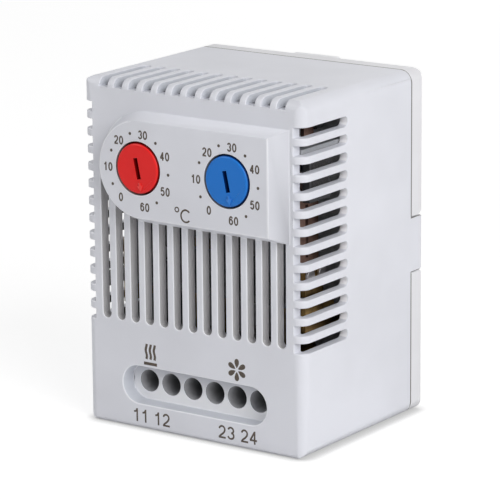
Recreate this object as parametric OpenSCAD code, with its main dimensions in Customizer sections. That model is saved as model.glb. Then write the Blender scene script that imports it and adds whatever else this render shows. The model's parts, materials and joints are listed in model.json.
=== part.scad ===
// Dual thermostat for a 35 mm rail: a red heating dial and a blue cooling dial,
// each with its own bimetal snap switch.
// X runs to the viewer's right, Y from the dials to the rail, Z up.
// The origin is the middle of the underside.

/* [Housing] */
// Width of the housing
body_w = 50; // [49.5:0.5:54]
// Height of the housing
body_h = 67; // [66:0.5:72]
// Depth from the front face to the rail face
body_d = 40.5; // [39:0.5:46]
// Wall thickness of the housing and the rear cover
wall = 1.8; // [1.6:0.1:2]
// Thickness of the front wall
front_wall = 2.2; // [2:0.1:2.4]
// Rounding of the long edges that run from front to rear
long_edge_r = 2.5; // [2:0.1:3]
// Rounding of the two upright front edges
upright_edge_r = 2.2; // [1:0.1:2.6]
// Rounding of the top front edge
top_edge_r = 2; // [1:0.1:2.5]
// Rounding of the foot edge and of the rear edges
soft_edge_r = 0.9; // [0.4:0.1:1.2]
// Depth of the rear cover, from the seam to the rail face
cover_d = 4.2; // [3.8:0.1:5]

/* [Vents] */
// Number of slots on the front, on the top and on each side
slot_count = 13; // [9:1:13]
// Width of a slot
slot_w = 1.9; // [1.4:0.1:2.1]
// Space between the outermost front slots and the sides of the housing
slot_side = 4.96; // [4.8:0.02:5.6]
// Length of the slots on the sides and the top
slot_l = 14.5; // [10:0.5:18]
// How much deeper than the side wall its slots are cut through the front wall
slot_corner = 0.45; // [0.3:0.05:0.6]
// Height of the lowest side slot
slot_low_z = 21.1; // [20.5:0.1:22]
// Space between the highest side slot and the top
slot_top = 5.82; // [5.4:0.02:6.4]

/* [Dials] */
// Space between the magnet beside each dial and the side wall
magnet_side = 0.95; // [0.6:0.05:1.2]
// Distance of the dials below the top
dial_drop = 15.7; // [15.2:0.1:16]
// Diameter of a knob
knob_d = 9.6; // [9:0.1:10.4]
// How far the dial panel stands out of the front face
panel_proud = 2.8; // [2.2:0.1:3.4]
// Height of the panel's flat face
panel_face_h = 18.5; // [17.5:0.1:19]
// Turn of a knob between 0 and 60 on its scale
dial_sweep = 315; // [300:1:320]
// Lift of the snail cam over that turn
cam_lift = 1.5; // [1:0.1:1.6]

/* [Terminals] */
// Distance from pole to pole
pole_pitch = 5.08; // [5:0.01:5.3]
// Height of the terminal screws
pole_z = 8.65; // [8.4:0.05:9.2]
// Bore of the screwdriver tubes
tube_d = 4.25; // [4.1:0.05:4.4]
// Depth of the recess round the screwdriver tubes
recess_d = 3.3; // [2.5:0.1:4]
// Diameter of the wire entries in the underside
entry_d = 3.6; // [3:0.1:4]
// Shank diameter of a terminal screw
screw_d = 2.6; // [2.4:0.1:2.8]
// Travel of a clamp cage
cage_travel = 2; // [1.5:0.1:2.2]

/* [Switches] */
// Thickness of the bimetal strips
bimetal_t = 0.7; // [0.5:0.05:0.8]
// Width of the bimetal strips
bimetal_w = 6.2; // [5.4:0.1:6.4]
// Gap between open contacts
contact_gap = 0.8; // [0.6:0.05:0.9]
// Diameter of the pins that the levers swing on
pin_d = 1.5; // [1.2:0.1:1.6]
// Thickness of the brass busbars
busbar_t = 1; // [0.8:0.05:1.1]

/* [Rail latch] */
// Height of the rail
rail_h = 35; // [35:0.1:35.5]
// Width of the latch
latch_w = 10; // [9:0.5:12]
// Travel of the latch
latch_travel = 3; // [2:0.1:3]

/* [Hidden] */
$fn = 64;

// Clearances and the overrun that every cut has
seat_gap = 0.1;
press_gap = 0.05;
run_gap = 0.06;
cut = 1;

// Colours
shell_grey = "#cdced4";
frame_grey = "#b9bbc0";
brass = "#b08a3c";
plated = "#b9b6bd";

// Rear end of the whole object: hooks behind a 1 mm rail flange
flange_t = 1;
flange_slack = 0.1;
hook_t = 1.2;
lug_d = flange_t + flange_slack + hook_t;
knob_proud = 0.25;
arrow_t = 0.15;
front_over = panel_proud + knob_proud + arrow_t;
overall_d = front_over + body_d + lug_d;
front_y = front_over - overall_d / 2;
seam_y = body_d - cover_d;
front_pitch = (body_w - 2 * slot_side) / (slot_count - 1);
side_pitch = (body_h - slot_top - slot_low_z) / (slot_count - 1);
dial_z = body_h - dial_drop;

// Switches, stacked from the side walls inwards to the cams on the knobs
magnet_t = 1.6;
magnet_gap = 0.35;
armature_t = 0.5;
button_t = 0.8;
blade_t = 0.3;
lever_t = 1.2;
nose_h = 1;
nose_gap = 0.1;
cam_r_max = 4;
magnet_x = body_w / 2 - wall - magnet_side - magnet_t;
bimetal_x = magnet_x - magnet_gap - armature_t - bimetal_t;
lever_x = bimetal_x - contact_gap - 2 * button_t - blade_t - lever_t;
dial_x = lever_x - nose_h - nose_gap - cam_r_max;

// Dial panel: flat face, arc at the left end, sloped border
panel_z = dial_z - 0.025 * knob_d;
panel_face_r = panel_face_h / 2;
panel_slope = 1.3;
panel_slope_right = 3;
panel_arc_x = -dial_x + 0.03 * knob_d;
panel_side = 5.95;
panel_right = body_w / 2 - panel_side;
panel_rim = 1.25;
pocket_r = panel_face_r - panel_rim;
pocket_right = panel_right - panel_rim - press_gap;

// Knobs
knob_r = knob_d / 2;
knob_gap = 0.3;
knob_edge = 0.35;
knob_slot_l = 4;
knob_slot_w = 0.9;
knob_slot_d = 1.2;
arrow_l = 1.7;
arrow_w = 1.3;
arrow_r = 3.75;
flange_rim = 0.8;
flange_r = knob_r + flange_rim;
flange_y = -panel_proud + wall + press_gap;
flange_w = 1.3;
stop_rise = 0.95;
stop_r = flange_r + stop_rise;
stop_deg = 11;
stop_w = 2;
hub_r = 2.6;
cam_y = 4;
cam_w = 3;
cam_spiral_deg = dial_sweep + 10;
shaft_r = 1.9;
journal_r = 1.75;
// The knobs rest at 60, pointing a little right of straight down
rest_turn = -12;

// Chassis: rear wall, top plate and shelf
shelf_t = 1.4;
shelf_drop = 2.275;
shelf_z = (pole_z + dial_z) / 2 - shelf_drop;
plate_rise = 5;
plate_z = dial_z + plate_rise;
frame_y = 13;
frame_t = 1.5;
frame_half_w = lever_x + 2 * lever_t;
boss_r = 3;
boss_w = 1.1;
chassis_half_w = body_w / 2 - wall - seat_gap;
chassis_y = front_wall + seat_gap;
window_x = 3.4;
window_side = 5.2;
window_rise = 5.3;
window_drop = 4.3;
window_z = shelf_z + window_rise;
window_top_z = dial_z - boss_r - window_drop;
post_offset = 6.7;
post_places = [dial_z - post_offset, dial_z + post_offset];
post_r = 1.9;
post_bore_r = 0.85;
post_top_y = frame_y - seat_gap;
fix_shank_r = post_bore_r - press_gap;
fix_head_r = 1.9;
fix_head_t = 1.3;
tab_r = fix_head_r + 1.2 * fix_shank_r;
fix_l = 9;
fix_slot_w = 0.5;
fix_slot_d = 0.6;
ledge_w = 1.4;
ledge_t = 1.3;
ledge_y = slot_l + 2 * seat_gap;
ledge_l = 3.2;

// Setting levers, seen on the right-hand side and mirrored for the left
nose_r = 0.6;
lever_w = 7.2;
lever_y = cam_y;
pin_x = lever_x + lever_t / 2;
pin_h = 2.5;
pin_z = shelf_z + shelf_t + pin_h;
lever_top_gap = 1.3;
lever_top_z = plate_z - lever_top_gap;
barrel_wall = 0.95;
barrel_r = pin_d / 2 + barrel_wall;
barrel_l = 5.6;
ear_t = 1.2;
ear_gap = 0.4;
ear_y = lever_y - ear_t - ear_gap;
ear_wall = 0.85;
ear_r = pin_d / 2 + ear_wall;
lever_arm = dial_z - pin_z;
// The cooling lever starts on the low end of its cam, nearer to the middle
cool_shift = cam_lift;
spring_wire_r = 0.175;
spring_gap = 0.4;
spring_r = pin_d / 2 + spring_gap + spring_wire_r;
spring_turns = 3.25;
spring_pitch = 0.8;
echo(least_gap_in_lever_spring = spring_pitch - 2 * spring_wire_r);

// Bimetal switches
button_r = 1.3;
contact_drop = 3.1;
contact_z = plate_z - contact_drop;
bimetal_y = 9.5;
strip_lift = 1.9;
bimetal_low_z = shelf_z + shelf_t + strip_lift;
tip_rise = 6.1;
bimetal_top_z = plate_z + tip_rise;
bimetal_tip_w = bimetal_w / 2;
tip_gate_gap = 0.55;
slit_w = 0.9;
slit_low = 5;
slit_high = 5.9;
rivet_edge = 2;
rivet_z = bimetal_low_z + rivet_edge;
rivet_r = 0.7;
rivet_head_r = 1.2;
rivet_head_t = 0.6;
rivet_pitch = 3.8;
closed_gap = 0.1;
closed_deg = asin((contact_gap - closed_gap) / (contact_z - rivet_z));
armature_h = 5;
magnet_w = 5.3;
magnet_h = 7.6;
magnet_frame_t = 0.8;
magnet_z = plate_z - magnet_frame_t - magnet_h - press_gap;
foot_x = bimetal_x + bimetal_t + seat_gap;
foot_w = 6;
shelf_rim = 1;
shelf_half_w = foot_x + busbar_t + shelf_rim;
foot_top_z = rivet_z + rivet_edge;
busbar_w = 2.7;
busbar_end_l = 2.4;
busbar_end_z = pole_z - busbar_end_l;
low_bar_drop = 5.4;
low_bar_z = shelf_z - low_bar_drop;
low_bar_h = 3.2;

// Terminals, counted from the front face
tube_l = 7.6;
block_y = recess_d + tube_l + seat_gap;
head_t = 1.9;
head_gap = 0.2;
head_play = 0.375;
head_r = tube_d / 2 - head_play;
head_pocket_d = head_t + head_gap;
shoulder_t = 0.8;
chamber_y = block_y + head_pocket_d + shoulder_t;
chamber_l = 12.1;
chamber_wall = 0.9;
chamber_w = pole_pitch - chamber_wall;
block_wall = 1.3;
chamber_h = 3.75;
block_h = 5.35;
block_end_y = chamber_y + chamber_l;
cage_wall = 0.5;
cage_front_t = 1.2;
cage_rear_t = 0.6;
cage_gap = 0.15;
cage_w = chamber_w - 2 * cage_gap;
cage_h = 6;
cage_y = chamber_y + cage_travel + seat_gap;
cage_l = 8.6;
screw_reach = 1.8;
busbar_y = cage_y + cage_front_t + screw_reach;
wire_y = (busbar_y + busbar_t + cage_y + cage_l - cage_rear_t) / 2;
recess_h = 7.35;
recess_over = 0.35;
recess_w = 5 * pole_pitch + recess_h + recess_over;
tray_t = 1.25;
poles_used = [-2.5, -1.5, 1.5, 2.5];

// Rear cover, rail hooks and latch
lip_t = 1.2;
lip_d = 2;
tongue_h = 10.7;
tongue_z = body_h / 2 - seat_gap;
tongue_edge_r = 1.2;
notch_edge_r = 2;
cheek_t = 1.4;
barb_t = 0.5;
barb_w = 0.9;
barb_back = 2.3;
barb_y = body_d - barb_back;
rib_t = 1.2;
latch_space = 16;
rail_top_z = body_h - latch_space;
rail_low_z = rail_top_z - rail_h;
hook_w = 8;
hook_x = 15;
hook_h = 4.4;
hook_lip_h = 1.9;
edge_slack = 0.15;
pip_r = 0.6;
pip_h = 0.9;
latch_t = 1.4;
latch_top_z = body_h - 2 * seat_gap;
latch_y = body_d + seat_gap;
latch_pad_h = 2.2;
latch_low_z = rail_top_z + 2 * edge_slack;
guide_gap = 0.8;
guide_z = latch_low_z + latch_pad_h + latch_travel + guide_gap;
guide_h = 5;
guide_t = 1.45;
guide_lip = 0.7;
guide_side_gap = 0.15;
groove_w = 4.2;
groove_d = 2.8;
groove_y = body_d - groove_d;
groove_lift = 3.2;
groove_low_z = latch_low_z + groove_lift;
groove_h = 10;
trough_t = 1.2;
lug_h = 1.5;
lug_w = 3.6;
latch_coil_r = 1;
latch_wire_r = 0.2;
latch_turn_l = 1.25;
latch_coil_low_z = groove_low_z + 2 * seat_gap + lug_h + seat_gap;
latch_coil_top_z = groove_low_z + groove_h - seat_gap;
latch_coil_l = latch_coil_top_z - latch_coil_low_z - 2 * latch_wire_r;
latch_turns = floor(latch_coil_l / latch_turn_l);
latch_coil_pitch = latch_coil_l / latch_turns;
echo(least_gap_in_latch_spring = latch_coil_pitch - 2 * latch_wire_r);

// Puts geometry measured from the housing's front face into the object's frame
module from_front() {
    translate([0, front_y, 0]) children();
}

// Rectangle with rounded corners, from the origin
module rounded(w, h, r) {
    translate([r, 0]) square([w - 2 * r, h]);
    translate([0, r]) square([w, h - 2 * r]);
    for (x = [r, w - r], y = [r, h - r]) translate([x, y]) circle(r);
}

// Long slot with round ends, centred
module obround(w, h) {
    square([w - h, h], center = true);
    for (x = [-1, 1] * (w - h) / 2) translate([x, 0]) circle(h / 2);
}

// Extrusions along Y and along X of outlines drawn in XZ and in YZ
module along_y(y, l) {
    translate([0, y + l, 0]) rotate([90, 0, 0]) linear_extrude(l) children();
}
module along_x(x, l) {
    translate([x, 0, 0]) rotate([90, 0, 90]) linear_extrude(l) children();
}

// Cylinder along Y and along X
module rod_y(r, y, l) {
    translate([0, y, 0]) rotate([-90, 0, 0]) cylinder(r = r, h = l);
}
module rod_x(r, x, l) {
    translate([x, 0, 0]) rotate([0, 90, 0]) cylinder(r = r, h = l);
}

// Box from its low corner to its high corner
module block(low, high) {
    translate(low) cube(high - low);
}

// Both copies of something drawn for the right-hand side
module both_sides() {
    children();
    mirror([1, 0, 0]) children();
}

// Round wire along a path that never runs along Z, as one unbroken tube
function unit(v) = v / norm(v);
module tube(path, wire_r) {
    sides = 6;
    last = len(path) - 1;
    points = [for (i = [0:last])
        let (t = unit(path[min(i + 1, last)] - path[max(i - 1, 0)]),
            n = unit(cross(t, [0, 0, 1])), w = cross(n, t))
        for (k = [0:sides - 1])
            path[i] + wire_r * (cos(360 * k / sides) * n + sin(360 * k / sides) * w)];
    walls = [for (i = [0:last - 1], k = [0:sides - 1], t = [0, 1])
        let (a = i * sides + k, b = i * sides + (k + 1) % sides)
        t == 0 ? [a, a + sides, b + sides] : [a, b + sides, b]];
    fans = [for (k = [1:sides - 2], e = [0, 1])
        e == 0 ? [0, k, k + 1] : [last * sides, last * sides + k + 1, last * sides + k]];
    polyhedron(points, concat(walls, fans));
}

// Centre line of a coil round Z, counter-clockwise upwards
function helix(r, pitch, turns, steps = 12) = [for (i = [0:turns * steps])
    let (a = 360 * i / steps) [r * cos(a), r * sin(a), pitch * i / steps]];

// The whole outer form, from the front face to the rail face
module outer_block() {
    intersection() {
        along_y(0, body_d) translate([-body_w / 2, 0]) rounded(body_w, body_h, long_edge_r);
        translate([0, 0, -cut]) linear_extrude(body_h + 2 * cut) intersection() {
            translate([-body_w / 2, 0])
                rounded(body_w, body_d + upright_edge_r, upright_edge_r);
            translate([-body_w / 2, -upright_edge_r])
                rounded(body_w, body_d + upright_edge_r, soft_edge_r);
        }
        along_x(-body_w, 2 * body_w) {
            translate([0, body_h / 2]) intersection() {
                translate([0, -top_edge_r]) rounded(body_d + top_edge_r,
                    body_h / 2 + top_edge_r, top_edge_r);
                translate([-top_edge_r, -top_edge_r]) rounded(body_d + top_edge_r,
                    body_h / 2 + top_edge_r, soft_edge_r);
            }
            rounded(body_d, body_h / 2 + soft_edge_r, soft_edge_r);
        }
    }
}

// Slots: from the front, through the top wall and through the side walls
function slot_x(i) = (i - (slot_count - 1) / 2) * front_pitch;
function slot_reach(x) = x > panel_arc_x ? panel_face_r + panel_slope
    : sqrt(max(0, pow(panel_face_r + panel_slope, 2) - pow(x - panel_arc_x, 2)));
module front_slots() {
    low_z = slot_low_z - 0.2 * slot_w;
    for (i = [0:slot_count - 1]) translate([slot_x(i), 0, 0]) along_y(-cut, front_wall + 2 * cut) {
        top_z = panel_z - slot_reach(slot_x(i)) + panel_slope / 2;
        translate([0, low_z + slot_w / 2]) circle(slot_w / 2);
        translate([-slot_w / 2, low_z + slot_w / 2]) square([slot_w, top_z - low_z - slot_w / 2]);
    }
}
module slot_outline() {
    translate([0, slot_l - slot_w / 2]) circle(slot_w / 2);
    translate([-slot_w / 2, -cut]) square([slot_w, slot_l - slot_w / 2 + cut]);
}
module top_slots() {
    for (i = [0:slot_count - 1]) translate([slot_x(i), 0, body_h - wall])
        linear_extrude(wall + cut) slot_outline();
}
module side_slots() {
    both_sides() for (i = [0:slot_count - 1])
        translate([body_w / 2 - wall, 0, slot_low_z + i * side_pitch]) {
            rotate([0, 90, 0]) linear_extrude(wall + cut) slot_outline();
            block([-slot_corner, -cut, -slot_w / 2], [wall + cut, front_wall + cut, slot_w / 2]);
        }
}

// Raised dial panel with its sloped border
module panel() {
    straight_l = panel_right + panel_slope_right - panel_arc_x;
    intersection() {
        along_x(panel_arc_x, straight_l) polygon([
            [-panel_proud, panel_z - panel_face_r], [0, panel_z - panel_face_r - panel_slope],
            [front_wall, panel_z - panel_face_r - panel_slope],
            [front_wall, panel_z + panel_face_r + panel_slope],
            [0, panel_z + panel_face_r + panel_slope], [-panel_proud, panel_z + panel_face_r]]);
        linear_extrude(body_h) polygon([
            [panel_arc_x, -panel_proud], [panel_right, -panel_proud],
            [panel_right + panel_slope_right, 0], [panel_right + panel_slope_right, front_wall],
            [panel_arc_x, front_wall]]);
    }
    translate([panel_arc_x, 0, panel_z]) rotate([-90, 0, 0]) {
        translate([0, 0, -panel_proud])
            cylinder(r1 = panel_face_r, r2 = panel_face_r + panel_slope, h = panel_proud);
        cylinder(r = panel_face_r + panel_slope, h = front_wall);
    }
}
module panel_pocket() {
    along_y(-panel_proud + wall, panel_proud + cut) {
        translate([panel_arc_x, panel_z]) circle(pocket_r);
        translate([panel_arc_x, panel_z - pocket_r])
            square([pocket_right - panel_arc_x, 2 * pocket_r]);
    }
}

// Stop for a knob's tab, below the knob in the dead part of its scale
module knob_stop() {
    low_z = panel_z - pocket_r - panel_slope / 2;
    block([-stop_w / 2, -panel_proud + wall / 2, low_z],
        [stop_w / 2, flange_y + flange_w, dial_z - flange_r - 2 * seat_gap]);
}

// Side tongue that runs back to the rail face
module tongue() {
    x = body_w / 2 - wall;
    along_x(x, wall) intersection() {
        translate([seam_y - lip_d, tongue_z - tongue_h / 2])
            rounded(cover_d + lip_d, tongue_h, tongue_edge_r);
        square([body_d, body_h]);
    }
    along_y(barb_y, barb_w) polygon([[x + wall / 2, tongue_z - tongue_h / 4],
        [x - barb_t, tongue_z - tongue_h / 4 + barb_t],
        [x - barb_t, tongue_z + tongue_h / 4 - barb_t],
        [x + wall / 2, tongue_z + tongue_h / 4]]);
}

module front_housing() {
    color(shell_grey) from_front() difference() {
        union() {
            difference() {
                union() {
                    intersection() {
                        outer_block();
                        block([-body_w, -cut, -cut], [body_w, seam_y, body_h + cut]);
                    }
                    intersection() {
                        outer_block();
                        both_sides() tongue();
                    }
                }
                block([-body_w / 2 + wall, front_wall, wall],
                    [body_w / 2 - wall, body_d + cut, body_h - wall]);
                front_slots();
                top_slots();
                side_slots();
            }
            panel();
            both_sides() intersection() {
                tongue();
                block([0, 0, 0], [body_w / 2 - wall / 2, body_d - seat_gap, body_h]);
            }
            // Tray of the terminal recess and the block of screwdriver tubes
            translate([0, 0, pole_z]) {
                along_y(wall / 2, recess_d - wall / 2 + tray_t)
                    obround(recess_w + 2 * tray_t, recess_h + 2 * tray_t);
                along_y(recess_d, tube_l) obround(recess_w - tray_t / 2, recess_h - tray_t / 2);
            }
            // Ledges that the lugs of the chassis rest on, behind the ends of the slots
            both_sides() block([body_w / 2 - wall - ledge_w, ledge_y, shelf_z - ledge_t],
                [body_w / 2 - wall / 2, ledge_y + ledge_l, shelf_z]);
        }
        panel_pocket();
        for (x = [-dial_x, dial_x]) translate([x, 0, dial_z])
            rod_y(knob_r + knob_gap, -panel_proud - cut, wall + 2 * cut);
        translate([0, 0, pole_z]) {
            along_y(-cut, recess_d + cut) obround(recess_w, recess_h);
            for (i = [-2.5:2.5]) translate([i * pole_pitch, 0, 0])
                rod_y(tube_d / 2, recess_d - cut, tube_l + 2 * cut);
        }
        for (i = poles_used) translate([i * pole_pitch, wire_y, -cut])
            cylinder(r = entry_d / 2, h = wall + 2 * cut);
    }
    color(shell_grey) from_front() {
        for (x = [-dial_x, dial_x]) translate([x, 0, 0]) knob_stop();
        for (z = post_places) translate([0, 0, z]) difference() {
            rod_y(post_r, -panel_proud + wall / 2, post_top_y + panel_proud - wall / 2);
            rod_y(post_bore_r, wall, post_top_y);
        }
    }
}

// Hook behind one edge of the rail, as an outline in YZ with the rail's edge at Z 0
module hook_outline(h, lip_h) {
    translate([body_d - wall / 2, -edge_slack - h]) square([lug_d + wall / 2, h]);
    polygon([[body_d + flange_t + flange_slack, -h], [body_d + lug_d, -h],
        [body_d + lug_d, lip_h - hook_t / 2], [body_d + lug_d - hook_t / 2, lip_h],
        [body_d + flange_t + flange_slack, lip_h]]);
}

module rear_cover() {
    inner_w = body_w - 2 * wall;
    notch_w = wall + seat_gap;
    low = tongue_z - tongue_h / 2 - seat_gap;
    high = tongue_z + tongue_h / 2 + seat_gap;
    color(shell_grey) from_front() difference() {
        union() {
            difference() {
                intersection() {
                    outer_block();
                    block([-body_w, seam_y, -cut], [body_w, body_d + cut, body_h + cut]);
                }
                block([-inner_w / 2, seam_y - cut, wall],
                    [inner_w / 2, body_d - wall, body_h - wall]);
                // Notches for the housing's tongues, with their edges rounded at the rear
                both_sides() along_x(body_w / 2 - notch_w, notch_w + cut) {
                    translate([seam_y - cut, low]) square([cover_d + 2 * cut, high - low]);
                    difference() {
                        translate([body_d - notch_edge_r, high])
                            square([notch_edge_r + cut, notch_edge_r]);
                        translate([body_d - notch_edge_r, high + notch_edge_r])
                            circle(notch_edge_r);
                    }
                    difference() {
                        translate([body_d - tongue_edge_r, low - tongue_edge_r])
                            square([tongue_edge_r + cut, tongue_edge_r]);
                        translate([body_d - tongue_edge_r, low - tongue_edge_r])
                            circle(tongue_edge_r);
                    }
                }
            }
            // Cheeks behind the tongues
            both_sides() block([body_w / 2 - notch_w - cheek_t, seam_y, low - wall],
                [body_w / 2 - notch_w, body_d - wall / 2, high + wall]);
            // Lip that fits inside the housing
            along_y(seam_y - lip_d, lip_d + cover_d - wall / 2) difference() {
                translate([-inner_w / 2 + seat_gap, wall + seat_gap])
                    square([inner_w - 2 * seat_gap, body_h - 2 * wall - 2 * seat_gap]);
                translate([-inner_w / 2 + seat_gap + lip_t, wall + seat_gap + lip_t])
                    square([inner_w - 2 * seat_gap - 2 * lip_t,
                        body_h - 2 * wall - 2 * seat_gap - 2 * lip_t]);
            }
            // Ribs that hold the terminal block forward
            both_sides() block([2 * pole_pitch - rib_t / 2, block_end_y + seat_gap, 2 * wall],
                [2 * pole_pitch + rib_t / 2, body_d - wall / 2, pole_z + chamber_h]);
            // Fixed hooks under the lower edge of the rail
            both_sides() along_x(hook_x - hook_w / 2, hook_w)
                translate([0, rail_low_z]) hook_outline(hook_h, hook_lip_h);
            // Guides with their lips over the latch
            both_sides() {
                x = latch_w / 2 + guide_side_gap;
                block([x, body_d - wall / 2, guide_z],
                    [x + guide_t, body_d + lug_d, guide_z + guide_h]);
                block([x - 2 * guide_lip, body_d + lug_d - guide_lip, guide_z],
                    [x + guide_t, body_d + lug_d, guide_z + guide_h]);
            }
            // Trough of the latch spring
            block([-groove_w / 2 - trough_t, groove_y - trough_t, groove_low_z - trough_t],
                [groove_w / 2 + trough_t, body_d - wall / 2, groove_low_z + groove_h + trough_t]);
            both_sides() translate([body_w / 2 - 2.6 * pip_r, 0, body_h - 10 * pip_r])
                rod_y(pip_r, body_d - wall / 2, wall / 2 + pip_h);
        }
        block([-groove_w / 2, groove_y, groove_low_z],
            [groove_w / 2, body_d + cut, groove_low_z + groove_h]);
        // Pockets that the tongues' barbs snap into
        both_sides() block([body_w / 2 - wall - barb_t - seat_gap, barb_y - seat_gap,
            tongue_z - tongue_h / 4 - seat_gap],
            [body_w / 2, barb_y + barb_w + seat_gap, tongue_z + tongue_h / 4 + seat_gap]);
    }
}

module rail_latch() {
    z = latch_low_z;
    color(shell_grey) from_front() {
        block([-latch_w / 2, latch_y, z], [latch_w / 2, latch_y + latch_t, latch_top_z]);
        // Hook over the upper edge of the rail
        along_x(-latch_w / 2, latch_w) polygon([
            [latch_y, z], [latch_y, z + latch_pad_h], [body_d + lug_d, z + latch_pad_h],
            [body_d + lug_d, z - hook_lip_h + hook_t / 2],
            [body_d + lug_d - hook_t / 2, z - hook_lip_h],
            [body_d + flange_t + flange_slack, z - hook_lip_h],
            [body_d + flange_t + flange_slack, z]]);
        // Ridges of the pull tab
        for (i = [0:1]) along_x(-latch_w / 2, latch_w) polygon([
            [latch_y + latch_t / 2, latch_top_z - i * latch_t],
            [latch_y + latch_t / 2, latch_top_z - (i + 0.9) * latch_t],
            [body_d + lug_d, latch_top_z - (i + 0.6) * latch_t],
            [body_d + lug_d, latch_top_z - (i + 0.3) * latch_t]]);
        // Lug that pushes the spring
        block([-lug_w / 2, groove_y + 2 * seat_gap, groove_low_z + 2 * seat_gap],
            [lug_w / 2, latch_y + latch_t / 2, groove_low_z + 2 * seat_gap + lug_h]);
    }
}

module latch_spring() {
    color(plated) from_front()
        translate([0, (groove_y + body_d) / 2, latch_coil_low_z + latch_wire_r])
            tube(helix(latch_coil_r, latch_coil_pitch, latch_turns), latch_wire_r);
}

// Inner frame
module chassis() {
    top_z = plate_z + shelf_t;
    gate_w = bimetal_tip_w + 2 * tip_gate_gap;
    color(frame_grey) from_front() difference() {
        union() {
            block([-frame_half_w, frame_y, shelf_z], [frame_half_w, frame_y + frame_t, top_z]);
            block([-chassis_half_w, chassis_y, plate_z],
                [chassis_half_w, frame_y + frame_t, top_z]);
            block([-shelf_half_w, chassis_y, shelf_z],
                [shelf_half_w, frame_y + frame_t, shelf_z + shelf_t]);
            both_sides() block([foot_x + busbar_t + 2 * seat_gap, frame_y, shelf_z],
                [chassis_half_w, ledge_y + ledge_l, shelf_z + shelf_t]);
            for (x = [-dial_x, dial_x]) translate([x, 0, dial_z])
                rod_y(boss_r, frame_y, frame_t + boss_w);
            // Tab for the upper screw
            block([-tab_r, frame_y, plate_z], [tab_r, frame_y + frame_t, post_places[1]]);
            translate([0, 0, post_places[1]]) rod_y(tab_r, frame_y, frame_t);
            // Ears for the lever pins
            for (x = [pin_x - cool_shift, -pin_x]) {
                block([x - ear_r, ear_y, shelf_z], [x + ear_r, ear_y + ear_t, pin_z]);
                translate([x, 0, pin_z]) rod_y(ear_r, ear_y, ear_t);
            }
            // Frames round the magnets
            both_sides() {
                block([magnet_x, bimetal_y - magnet_w / 2 - magnet_frame_t,
                    magnet_z - magnet_frame_t - press_gap], [magnet_x + magnet_t,
                    bimetal_y + magnet_w / 2 + magnet_frame_t, plate_z + shelf_t / 2]);
            }
        }
        for (x = [-dial_x, dial_x]) translate([x, 0, dial_z])
            rod_y(journal_r + press_gap, 0, body_d);
        for (z = post_places) translate([0, 0, z])
            rod_y(fix_shank_r + 2 * seat_gap, frame_y - cut, frame_t + 2 * cut);
        // Notch in the plate, round the upper post
        block([-post_r - 2 * seat_gap, chassis_y - cut, plate_z - cut],
            [post_r + 2 * seat_gap, frame_y, top_z + cut]);
        for (x = [pin_x - cool_shift, -pin_x]) translate([x, 0, pin_z])
            rod_y(pin_d / 2 + press_gap, 0, body_d);
        both_sides() {
            // Window in the wall, gate for the bimetal's tip, gate for the busbar's foot
            block([window_x, frame_y - cut, window_z],
                [frame_half_w - window_side, frame_y + frame_t + cut, window_top_z]);
            block([bimetal_x - 1.6 * contact_gap, bimetal_y - gate_w / 2, plate_z - cut],
                [bimetal_x + bimetal_t + armature_t, bimetal_y + gate_w / 2, top_z + cut]);
            block([foot_x - seat_gap, bimetal_y - foot_w / 2 - seat_gap, shelf_z - cut],
                [foot_x + busbar_t + seat_gap, bimetal_y + foot_w / 2 + seat_gap,
                    shelf_z + shelf_t + cut]);
            block([magnet_x - cut, bimetal_y - magnet_w / 2 - press_gap, magnet_z - press_gap],
                [magnet_x + magnet_t + cut, bimetal_y + magnet_w / 2 + press_gap,
                    magnet_z + magnet_h + press_gap]);
        }
    }
}

module chassis_screws() {
    y = frame_y + frame_t + press_gap;
    color(plated) from_front() for (z = post_places) translate([0, 0, z])
        difference() {
            union() {
                rod_y(fix_shank_r, y - fix_l, fix_l);
                rod_y(fix_head_r, y, fix_head_t);
            }
            block([-fix_head_r - cut, y + fix_head_t - fix_slot_d, -fix_slot_w / 2],
                [fix_head_r + cut, y + fix_head_t + cut, fix_slot_w / 2]);
        }
}

module terminal_block() {
    half_w = 2.5 * pole_pitch + chamber_w / 2 + block_wall;
    low_z = wall + seat_gap;
    color("#5d6066") from_front() difference() {
        block([-half_w, block_y, low_z], [half_w, block_end_y, pole_z + block_h]);
        for (i = [-2.5:2.5]) translate([i * pole_pitch, 0, 0]) {
            block([-chamber_w / 2, chamber_y, low_z - cut],
                [chamber_w / 2, block_end_y + cut, pole_z + chamber_h]);
            translate([0, 0, pole_z]) {
                rod_y(head_r + seat_gap, block_y - cut, head_pocket_d + cut);
                rod_y(screw_d / 2 + head_gap / 2, block_y, chamber_y - block_y + cut);
            }
        }
        for (i = poles_used) translate([i * pole_pitch, 0, 0])
            block([-busbar_w / 2 - seat_gap, busbar_y - seat_gap, pole_z],
                [busbar_w / 2 + seat_gap, busbar_y + busbar_t + seat_gap,
                    pole_z + block_h + cut]);
    }
}

// Snail cam outline at rest. It pushes along X with its high end, or flipped with its low end
function cam_r(a) = a < cam_spiral_deg ? cam_r_max - cam_lift * a / dial_sweep
    : cam_r_max - cam_lift * cam_spiral_deg / dial_sweep * (360 - a) / (360 - cam_spiral_deg);
module cam_outline(flip) {
    polygon([for (a = [0:5:355]) let (b = flip ? a - dial_sweep : -a) cam_r(a) * [cos(b), sin(b)]]);
}

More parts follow.
